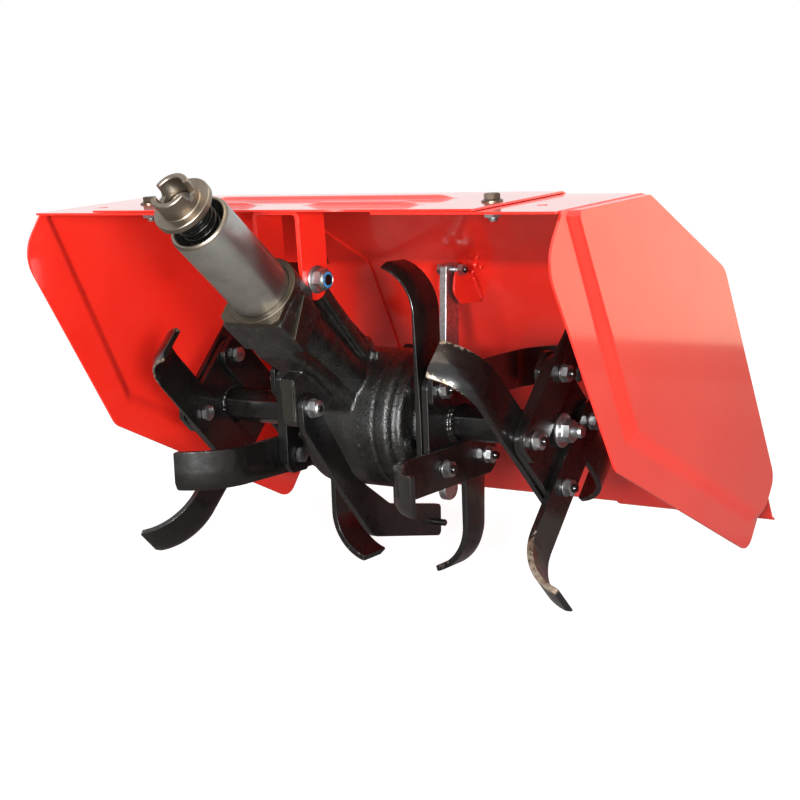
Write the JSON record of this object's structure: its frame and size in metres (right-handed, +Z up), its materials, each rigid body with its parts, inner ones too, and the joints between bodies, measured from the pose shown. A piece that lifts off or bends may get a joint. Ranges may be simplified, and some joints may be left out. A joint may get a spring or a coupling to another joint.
{
  "type": "rotary tiller attachment",
  "caption": "Rotary tiller attachment: bent sheet hood over a bladed rotor, driven through a cast gearbox and an angled input neck with a spring-loaded clutch dog.",
  "frame": {"origin": "centre of the bounding box's base, on the ground", "axes": "+X across the machine, along the rotor, to the right seen from the input end; +Y rearwards, away from the tractor; +Z up, with the machine nosed down as it stands"},
  "size_m": [0.7, 0.6782, 0.481],
  "materials": {
    "red_enamel": "gloss red enamel",
    "black_enamel": "gloss black enamel",
    "cast_black": "black painted sand casting",
    "machined_steel": "bare machined steel",
    "zinc_steel": "bright zinc plate"
  },
  "bodies": {
    "frame": {"depth_skid": "black_enamel", "end_plate_left": "red_enamel", "end_plate_right": "red_enamel", "gearbox_case": "cast_black", "hanger_bracket": "red_enamel", "hood_centre_sheet": "red_enamel", "hood_side_left": "red_enamel", "hood_side_right": "red_enamel", "input_sleeve": "machined_steel", "rear_lug": "red_enamel", "support_bar": "zinc_steel"},
    "rotor": {"axle_end_bolt_left": "zinc_steel", "axle_end_bolt_right": "zinc_steel", "axle_left": "black_enamel", "axle_right": "black_enamel", "blade_flange_left_inner": "black_enamel", "blade_flange_left_outer": "black_enamel", "blade_flange_right_inner": "black_enamel", "blade_flange_right_outer": "black_enamel", "output_shaft": "machined_steel", "tine_left_inner_1": "black_enamel", "tine_left_inner_2": "black_enamel", "tine_left_inner_3": "black_enamel", "tine_left_inner_4": "black_enamel", "tine_left_outer_1": "black_enamel", "tine_left_outer_2": "black_enamel", "tine_left_outer_3": "black_enamel", "tine_left_outer_4": "black_enamel", "tine_right_inner_1": "black_enamel", "tine_right_inner_2": "black_enamel", "tine_right_inner_3": "black_enamel", "tine_right_inner_4": "black_enamel", "tine_right_outer_1": "black_enamel", "tine_right_outer_2": "black_enamel", "tine_right_outer_3": "black_enamel", "tine_right_outer_4": "black_enamel"},
    "drive": {"clutch_dog": "machined_steel", "clutch_spring": "black_enamel", "input_shaft": "machined_steel"}
  },
  "joints": [
    {"name": "rotor_spin", "type": "hinge", "parent": "frame", "child": "rotor", "pos_m": [0, 0.00262, 0.18471], "axis": [1, 0, 0], "continuous": true},
    {"name": "input_spin", "type": "hinge", "parent": "frame", "child": "drive", "pos_m": [-0.01, -0.25592, 0.40552], "axis": [0, -0.7604, 0.6494], "continuous": true}
  ],
  "couplings": [
    {"joint": "input_spin", "follows": "rotor_spin", "ratio": 3}
  ]
}
